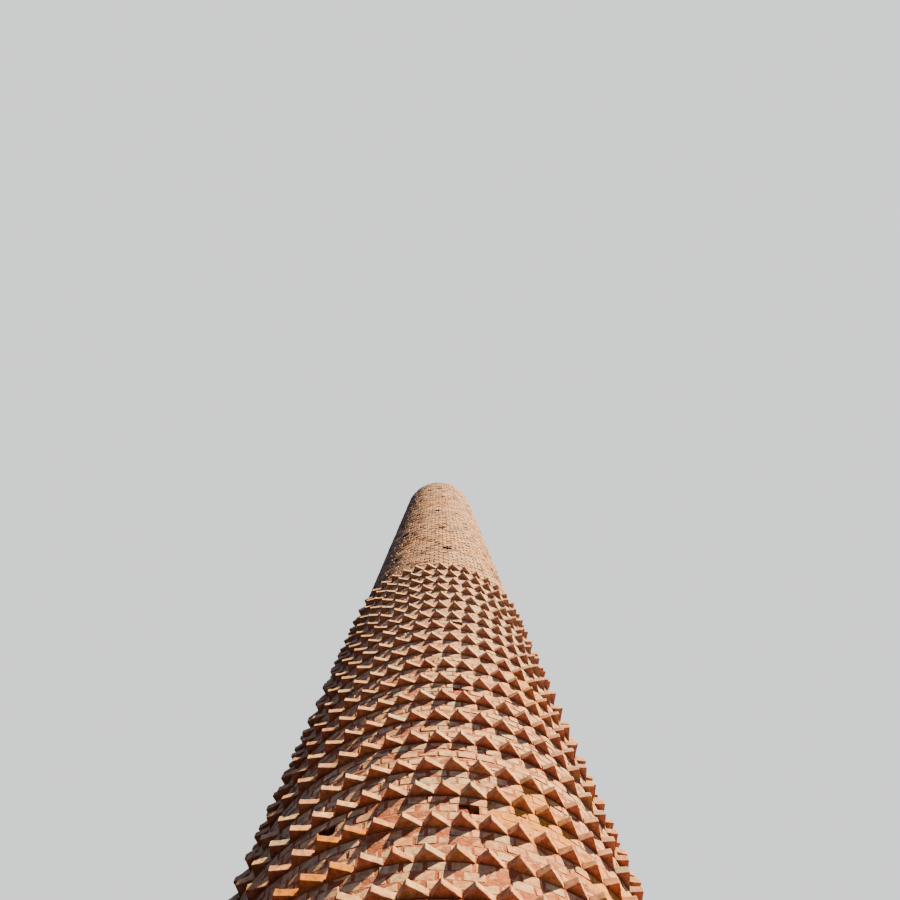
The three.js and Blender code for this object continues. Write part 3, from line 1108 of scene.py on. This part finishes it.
def mortar_depth(x, y, z, least, most):
    """How far the mortar lies behind the brick faces: washed out in patches, and rough all over."""
    patch = 0.5 + 0.75 * hills.noise(Vector((x * 2.1, y * 2.1, z * 3.3)))
    rough = 0.5 + 0.75 * hills.noise(Vector((x * 17.0, y * 17.0, z * 40.0)))
    return least + (most - least) * min(max(0.55 * patch + 0.45 * rough, 0.0), 1.0) ** 2


def joint_levels(courses, low, high, open_heads=False):
    """Heights of the rings of a mortar body, each with the least and most depth of its mortar.

    A fourth value is the bond of a course whose head joints are washed out at that ring.
    """
    levels = [(low, *FLUSH)]
    below = low
    for course in courses:
        if course.low - below > THIN_BED:
            if below > low:
                levels.append((below + RING_OVER_BRICKS, *OVER_BRICKS))
                levels.append(((below + course.low) / 2, *MID_BED))
            depths = UNDER_TEETH if course.teeth else UNDER_BRICKS
            levels.append((course.low - RING_UNDER_BRICKS, *depths))
        if open_heads and course is not courses[-1]:
            depths = WORN_SHAFT_HEADS if WORN_SHAFT_FOOT_Z < course.low < WORN_SHAFT_TOP_Z else SHAFT_HEADS
            levels.append((course.low + RING_IN_HEAD_JOINT, *depths, course.bond))
            levels.append((course.high - RING_IN_HEAD_JOINT, *depths, course.bond))
        below = course.high
    if high - below > THIN_BED:
        levels.append((below + RING_OVER_BRICKS, *LAST_BED))
    levels.append((high, *FLUSH))
    return levels


def mortar_rings(bm, levels, columns, radius_at, extra=0.0, split=1):
    """Rings of a mortar body's outer face, each point as deep as its mortar is washed out there."""
    rings = []
    for z, least, most, *bond in levels:
        made = []
        for i in range(columns):
            angle = FRONT + i * 2 * math.pi / columns
            x, y = radius_at(z) * math.cos(angle), radius_at(z) * math.sin(angle)
            behind_brick = bond and (i - split * (bond[0] + 0.5)) % split
            depth = least if behind_brick else mortar_depth(x, y, z, least, most + extra)
            kept = 1 - depth / radius_at(z)
            made.append(bm.verts.new((x * kept, y * kept, z)))
        rings.append(made)
    return rings


def add_bore(bm, outer, low, high):
    """The bore's face, given as (radius, height) at both ends, and the flat ends of the wall round it."""
    inner = [ring(bm, radius, z, len(outer[0])) for radius, z in (low, high)]
    loft(bm, inner, LINING_FACES)
    loft(bm, [inner[0], outer[0]])
    loft(bm, [inner[1], outer[-1]])


def sink_hole(bm, skin, lift, levels, split, course, slot):
    """Pushes a core's face in where a brick is missing."""
    index = lift.courses.index(course)
    foot = lift.courses[index - 1].high if index else course.low - 0.003
    head = lift.courses[index + 1].low if index + 1 < len(lift.courses) else course.high + 0.003
    bands = [i for i in range(len(levels) - 1) if levels[i][0] > foot and levels[i + 1][0] < head]
    columns = split * lift.bricks
    first = round(split * (slot + course.bond - 0.5))
    hole = [skin[band * columns + (first + i) % columns] for band in bands for i in range(split)]
    grown = bmesh.ops.extrude_face_region(bm, geom=hole)["geom"]
    bmesh.ops.delete(bm, geom=hole, context="FACES")
    centre = lift.brick_centre(course, slot)
    corners = [v for v in grown if isinstance(v, bmesh.types.BMVert)]
    bmesh.ops.translate(bm, vec=Vector((-centre.x, -centre.y, 0)).normalized() * HOLE_DEPTH, verts=corners)
    for face in {f for v in corners for f in v.link_faces}:
        face.material_index = HOLE_FACES


def mortar_core(lift, mortar, head_mortar, top_drop=0.0, split=4, extra=0.0, open_heads=False):
    """The mortar body of a lift, with rings for each joint and some columns for each brick."""
    columns = split * lift.bricks
    levels = joint_levels(lift.courses, lift.low, lift.high - top_drop, open_heads)
    bm = bmesh.new()
    outer = mortar_rings(bm, levels, columns, wall_radius, extra, split)
    skin = loft(bm, outer)
    for band, (lower, upper) in enumerate(zip(levels, levels[1:])):
        if upper[0] - lower[0] > TALL_BAND:
            for face in skin[band * columns:(band + 1) * columns]:
                face.material_index = HEAD_FACES
    low = (wall_radius(lift.low) - lift.thickness, lift.low)
    high = (wall_radius(lift.high) - lift.thickness, lift.high - top_drop)
    add_bore(bm, outer, low, high)
    for course, slot in lift.left_out_bricks():
        sink_hole(bm, skin, lift, levels, split, course, slot)
    return closed_object(lift.name + "_mortar", bm, mortar, lining, flue_brick, head_mortar)


def deliver(piece, slot, *nodes):
    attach(piece, "root")
    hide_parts(*nodes)


# The toothed wall.

for number, lift in enumerate(toothed_lifts):
    plain = [course for course in lift.courses if not course.teeth]
    rows = [course for course in lift.courses if course.teeth]
    bricks = lay_rings(lift.name + "_bricks", plain, lift.bricks, "header", wall_brick, 10 + number,
                       left_out=lift.left_out_places())
    step = 360 / lift.teeth
    orange = []
    for row, degrees in ORANGE_TEETH:
        row_low, shift = rows_up[len(rows_up) - 1 - row]
        if lift.low < row_low < lift.high:
            slot = round(degrees / step - shift)
            orange.append(on_wall((slot + shift) * step, row_low + TOOTH_HEIGHT / 2))
    teeth = lay_rings(lift.name + "_teeth", rows, lift.teeth, "tooth", tooth_brick, 30 + number,
                      orange=orange, joint=TIGHT_JOINT, unevenness=0.003, twist=0.03)
    core = mortar_core(lift, wall_mortar, wall_head_mortar)
    for piece in (core, bricks, teeth):
        deliver(piece, "brick", *lift.nodes())


def holes_in(lifts, holes):
    """Each hole of some lifts, with its brick's pitch and centre, and the way out of the wall as an angle."""
    for lift in lifts:
        for hole in holes:
            if lift.low < hole[1] < lift.high:
                centre = lift.brick_centre(*lift.nearest_brick(*hole[:2]))
                yield hole, lift.pitch, centre, math.atan2(centre.y, centre.x)


def broken_ends():
    """The ends of bricks that are left in the holes of missing bricks, on the left and a little askew."""
    ends = SingleBricks()
    sunk, lifted, tilt, dip = 0.011, 0.002, 0.2, -0.12
    for (degrees, z, share), pitch, centre, around in holes_in(toothed_lifts, MISSING_BRICKS):
        outward = Vector((math.cos(around), math.sin(around), 0))
        rightward = Vector((-outward.y, outward.x, 0))
        to_left = 0.5 * (1 - share) * pitch
        place = centre - sunk * outward - to_left * rightward + Vector((0, 0, lifted))
        ends.add(place, (tilt, dip, around + 0.3 * (1 - share)), (0.6, share * pitch, 1.1 * BRICK_HEIGHT))
    return ends.lay("broken_brick_ends", "block", 60, shaded_broken_brick)


def putlog_beds():
    """Thin beds of old mortar on the floors and under the heads of the putlog holes, near-black as painted
    shade inside the holes.
    """
    beds = SingleBricks()
    sunk, thickness = 0.002, 0.014
    half_height = BRICK_HEIGHT / 2 + BED_JOINT - 0.008
    for hole, pitch, centre, around in holes_in(shaft_lifts, PUTLOG_HOLES):
        outward = Vector((math.cos(around), math.sin(around), 0))
        for level in (-half_height, half_height):
            place = centre - sunk * outward + Vector((0, 0, level))
            beds.add(place, (0.0, 0.0, around), (0.95, 0.95 * pitch, thickness))
    return beds.lay("putlog_beds", "block", 61, hole_shade_clay)


deliver(broken_ends(), "brick", *[node for lift in toothed_lifts for node in lift.nodes()])
deliver(putlog_beds(), "brick", *[node for lift in shaft_lifts for node in lift.nodes()])


# The plain shaft, with a rim of deep bricks for its last course.

RIM_DROP = 0.012

for number, lift in enumerate(shaft_lifts):
    last = lift is shaft_lifts[-1]
    plain = lift.courses[:-1] if last else lift.courses
    bricks = lay_rings(lift.name + "_bricks", plain, lift.bricks, "header", shaft_brick, 70 + number,
                       left_out=lift.left_out_places(), batter=SHAFT_BATTER, unevenness=0.006, twist=0.05)
    core = mortar_core(lift, shaft_mortar, shaft_mortar, RIM_DROP if last else 0.0, split=2, extra=0.006,
                       open_heads=True)
    for piece in (core, bricks):
        deliver(piece, "brick", *lift.nodes())
    if last:
        rim = lay_rings("rim_bricks", lift.courses[-1:], lift.bricks, "rim", shaft_brick, 90,
                        batter=SHAFT_BATTER, unevenness=0.003)
        deliver(rim, "brick", *lift.nodes())


# The plinth and the flue mouth.

NARROWEST_CUT = 0.025
ARCH_STEPS = 32
ARCH_MORTAR_STEPS = 36
ARCH_BRICKS = 17
ARCH_LAYERS = 4
ARCH_LAYER_STEP = 0.115
JAMB_BRICK_STEP = 0.13
JAMB_BRICK_DEPTH = 0.112
WELD = 2e-5
FLUE_OUTER_RADIUS = FLUE_HALF_WIDTH + FLUE_ARCH_THICKNESS


def flue_edge(z):
    """How far from the middle of the back the brickwork round the flue mouth begins, at a height."""
    if z <= FLUE_SPRINGING_Z:
        return FLUE_HALF_WIDTH
    return math.sqrt(max(FLUE_OUTER_RADIUS**2 - (z - FLUE_SPRINGING_Z) ** 2, 0.0))


def plinth_radius(z):
    return PLINTH_RADIUS if z < PLINTH_STEP_Z else wall_radius(z)


def cut_for_flue(courses, bricks_round, cuts):
    """The places of the bricks that the flue mouth takes out. Bricks cut to fill the rest join the cuts."""
    gone = []
    for course in courses:
        radius = plinth_radius(course.middle)
        edge = flue_edge(max(course.low - BED_JOINT, 0.0))
        if edge == 0:
            continue
        half = math.pi * radius / bricks_round - HEAD_JOINT / 2
        nearest = {1: math.inf, -1: math.inf}
        for slot in range(bricks_round):
            angle = FRONT + (slot + course.bond) * 2 * math.pi / bricks_round
            x, y = radius * math.cos(angle), radius * math.sin(angle)
            if y < 0:
                continue
            if abs(x) < edge + HEAD_JOINT / 2 + half:
                gone.append((x, y, course.middle))
            else:
                side = 1 if x > 0 else -1
                nearest[side] = min(nearest[side], abs(x) - half * abs(y) / radius)
        for side, inner in nearest.items():
            width = inner - HEAD_JOINT - edge
            if width >= NARROWEST_CUT:
                x = side * (edge + width / 2)
                place = (x, math.sqrt(radius**2 - x**2) - 0.001, course.middle)
                cuts.add(place, (0.0, 0.0, math.pi / 2), (1.0, width, course.high - course.low))
    return gone


def flue_way(half_width, arch_radius, low_y, high_y, foot):
    """A solid the shape of the flue mouth, for cutting it out of the plinth's mortar."""
    outline = [(-half_width, foot), (half_width, foot), (half_width, FLUE_SPRINGING_Z)]
    for i in range(ARCH_STEPS + 1):
        angle = math.pi * i / ARCH_STEPS
        outline.append((arch_radius * math.cos(angle), FLUE_SPRINGING_Z + arch_radius * math.sin(angle)))
    outline.append((-half_width, FLUE_SPRINGING_Z))
    bm = bmesh.new()
    loft_with_ends(bm, [[bm.verts.new((x, y, z)) for x, z in outline] for y in (low_y, high_y)])
    return closed_object("flue_way", bm, wall_mortar)


def plinth_core():
    """The plinth's mortar body, with the flue mouth and its arch cut out."""
    bm = bmesh.new()
    columns = 3 * plinth_lift.bricks
    step_z = PLINTH_STEP_Z - 0.01
    rings = mortar_rings(bm, joint_levels(foot_courses, 0.0, step_z), columns, plinth_radius)
    rings += mortar_rings(bm, joint_levels(plinth_lift.courses, step_z, PLINTH_TOP_Z), columns, wall_radius)
    loft(bm, rings)
    add_bore(bm, rings, *[(wall_radius(z) - PLINTH_THICKNESS, z) for z in (0.0, PLINTH_TOP_Z)])
    body = closed_object("plinth_mortar_body", bm, wall_mortar, lining)
    way = flue_way(FLUE_HALF_WIDTH + 0.004, FLUE_OUTER_RADIUS - 0.004, low_y=0.8, high_y=2.2, foot=-0.1)
    cut = body.modifiers.new("flue", "BOOLEAN")
    cut.operation = "DIFFERENCE"
    cut.solver = "EXACT"
    cut.object = way
    made = settled(body, "plinth_mortar")
    bpy.data.objects.remove(way)
    bm = bmesh.new()
    bm.from_mesh(made.data)
    bmesh.ops.remove_doubles(bm, verts=bm.verts, dist=WELD)
    bmesh.ops.dissolve_degenerate(bm, edges=bm.edges, dist=WELD)
    bm.to_mesh(made.data)
    bm.free()
    return made


def arch_mortar():
    """The mortar of the arch ring, which follows the round of the wall."""
    bm = bmesh.new()
    inner, outer = FLUE_HALF_WIDTH + 0.006, FLUE_OUTER_RADIUS - 0.003
    face, back = 0.005, PLINTH_THICKNESS
    sections = []
    for i in range(ARCH_MORTAR_STEPS + 1):
        angle = math.pi * i / ARCH_MORTAR_STEPS
        corners = []
        for radius, depth in ((inner, back), (inner, face), (outer, face), (outer, back)):
            x = radius * math.cos(angle)
            z = FLUE_SPRINGING_Z + radius * math.sin(angle)
            corners.append(bm.verts.new((x, math.sqrt((wall_radius(z) - depth) ** 2 - x**2), z)))
        sections.append(corners)
    loft_with_ends(bm, sections)
    return closed_object("flue_arch_mortar", bm, wall_mortar)


def arch_bricks():
    """Voussoirs in layers through the wall, their outer ends on the round of the wall."""
    bricks = SingleBricks()
    middle = FLUE_HALF_WIDTH + FLUE_ARCH_THICKNESS / 2
    size = (1.0, math.pi * middle / ARCH_BRICKS - TIGHT_JOINT, FLUE_ARCH_THICKNESS - 0.006)
    for i in range(ARCH_BRICKS):
        angle = math.pi * (i + 0.5) / ARCH_BRICKS
        along = Vector((-math.sin(angle), 0, math.cos(angle)))
        up = Vector((math.cos(angle), 0, math.sin(angle)))
        spin = Matrix((Vector((0, 1, 0)), along, up)).transposed().to_euler()
        x = middle * math.cos(angle)
        z = FLUE_SPRINGING_Z + middle * math.sin(angle)
        face = math.sqrt(wall_radius(z) ** 2 - x**2)
        for layer in range(ARCH_LAYERS):
            bricks.add((x, face - ARCH_LAYER_STEP * layer, z), tuple(spin), size)
    return bricks.lay("flue_arch_bricks", "block", 105, flue_brick)


def jamb_bricks():
    """The bricks of the flue mouth's two sides, course by course into the wall."""
    bricks = SingleBricks()
    for course in foot_courses + plinth_lift.courses[:1]:
        x = FLUE_HALF_WIDTH
        outer = math.sqrt(plinth_radius(course.middle) ** 2 - x**2) - JAMB_BRICK_DEPTH
        inner = math.sqrt((wall_radius(course.middle) - PLINTH_THICKNESS) ** 2 - x**2)
        count = round((outer - inner) / JAMB_BRICK_STEP)
        step = (outer - inner) / count
        for i in range(count):
            for side, turn in ((1, math.pi), (-1, 0.0)):
                place = (side * x, inner + (i + 0.5) * step, course.middle)
                bricks.add(place, (0.0, 0.0, turn), (1.0, step - TIGHT_JOINT, course.high - course.low))
    return bricks.lay("flue_jamb_bricks", "header", 106, flue_brick)


foot_bricks_round = round(2 * math.pi * PLINTH_RADIUS / HEADER_PITCH)
cuts = SingleBricks()
foot_gone = cut_for_flue(foot_courses, foot_bricks_round, cuts)
upper_gone = cut_for_flue(plinth_lift.courses, plinth_lift.bricks, cuts)
foot_bricks = lay_rings("plinth_foot_bricks", foot_courses, foot_bricks_round, "ledge", wall_brick, 101,
                        left_out=foot_gone, datum=(PLINTH_RADIUS, 0.0), batter=0.0)
plinth_bricks = lay_rings("plinth_bricks", plinth_lift.courses, plinth_lift.bricks, "header", wall_brick, 102,
                          left_out=upper_gone)
cut_bricks = cuts.lay("plinth_cut_bricks", "block", 103, wall_brick)

PLINTH_PARTS = ("front", "right", "left", "back_right", "back_left", "back_top")
for piece in (foot_bricks, plinth_bricks, cut_bricks, plinth_core()):
    deliver(piece, "brick", *[f"plinth_{part}" for part in PLINTH_PARTS])
for piece in (arch_mortar(), arch_bricks()):
    deliver(piece, "flue_brick", "flue_arch")
deliver(jamb_bricks(), "flue_brick", "plinth_back_right", "plinth_back_left")
hearth = frame["nodes"]["hearth_floor"]
hearth.data.materials.clear()
hearth.data.materials.append(paving)

for box in shape_boxes.values():
    for shape in list(box.objects):
        bpy.data.objects.remove(shape)
    bpy.data.collections.remove(box)


# Floor, light and camera.

FLOOR_RADIUS = 150.0
FLOOR_SEEN = (0.1, 0.105, 0.14)
FLOOR_GLOW_LEFT = (0.012, 0.009, 0.01)
FLOOR_GLOW_RIGHT = (0.055, 0.045, 0.06)
SKY_SEEN = (1.2, 1.22, 1.25, 1)
SKY_FILL = (0.31, 0.57, 1.1, 1)

# The viewpoint is close to the foot at eye height and looks almost straight up. Angles are in radians.
CAMERA_PLACE = (0.0, -4.0211, 1.55)
CAMERA_RISE = 1.4315
CAMERA_TURN = 0.0985
CAMERA_ROLL = 0.093
CAMERA_LENS_MM = 32.0
CAMERA_SENSOR_MM = 36.0


def is_seen(tree):
    """1 where the camera looks at a surface itself, and 0 where only light comes from it."""
    return add_node(tree, "ShaderNodeLightPath").outputs["Is Camera Ray"]


def make_floor():
    """A plain floor, which throws less light up on the left than on the right."""
    bm = bmesh.new()
    bmesh.ops.create_circle(bm, cap_ends=True, segments=64, radius=FLOOR_RADIUS)
    floor = add_object("floor", bm)
    made, tree, skin, where = new_material("plain floor")
    rightward = ranged(tree, parts_of(tree, where)["X"], -2.0, 3.0)
    glow = blended(tree, rightward, FLOOR_GLOW_LEFT, FLOOR_GLOW_RIGHT)
    wire(tree, blended(tree, is_seen(tree), glow, FLOOR_SEEN), skin.inputs["Base Color"])
    floor.data.materials.append(made)


def set_world():
    """A plain pale studio, whose bluish fill is stronger from the right."""
    world = bpy.data.worlds.new("studio")
    bpy.context.scene.world = world
    world.use_nodes = True
    tree = world.node_tree
    tree.nodes.clear()
    across = parts_of(tree, add_node(tree, "ShaderNodeTexCoord").outputs["Generated"])["X"]
    strength = ranged(tree, across, -0.8, 0.6, 0.52, 1.1)
    fill = add_node(tree, "ShaderNodeBackground", {"Color": SKY_FILL, "Strength": strength})
    seen = add_node(tree, "ShaderNodeBackground", {"Color": SKY_SEEN})
    both = feed(tree, "ShaderNodeMixShader", is_seen(tree), out(fill), out(seen))
    feed(tree, "ShaderNodeOutputWorld", out(both))


def add_sun(name, to_light, strength, softness, colour):
    data = bpy.data.lights.new(name, "SUN")
    data.energy = strength
    data.angle = softness
    data.color = colour
    made = link_object(name, data)
    made.rotation_mode = "QUATERNION"
    made.rotation_quaternion = Vector(to_light).to_track_quat("Z", "Y")


def set_camera():
    rise_cos, rise_sin = math.cos(CAMERA_RISE), math.sin(CAMERA_RISE)
    turn_cos, turn_sin = math.cos(CAMERA_TURN), math.sin(CAMERA_TURN)
    ahead = Vector((rise_cos * turn_sin, rise_cos * turn_cos, rise_sin))
    right = Vector((turn_cos, -turn_sin, 0))
    up = Vector((-rise_sin * turn_sin, -rise_sin * turn_cos, rise_cos))
    across = math.cos(CAMERA_ROLL) * right - math.sin(CAMERA_ROLL) * up
    above = math.sin(CAMERA_ROLL) * right + math.cos(CAMERA_ROLL) * up
    data = bpy.data.cameras.new("camera")
    data.sensor_width = CAMERA_SENSOR_MM
    data.lens = CAMERA_LENS_MM
    made = link_object("camera", data)
    aim = Matrix((across, above, -ahead)).transposed().to_4x4()
    made.matrix_world = Matrix.Translation(CAMERA_PLACE) @ aim
    bpy.context.scene.camera = made


make_floor()
set_world()
add_sun("key light", (0.385, -0.305, 0.8), strength=40.0, softness=0.02, colour=(1.0, 0.71, 0.41))
add_sun("rear light", (0.24, 0.9, 0.37), strength=8.0, softness=0.5, colour=(1.0, 0.82, 0.62))
set_camera()
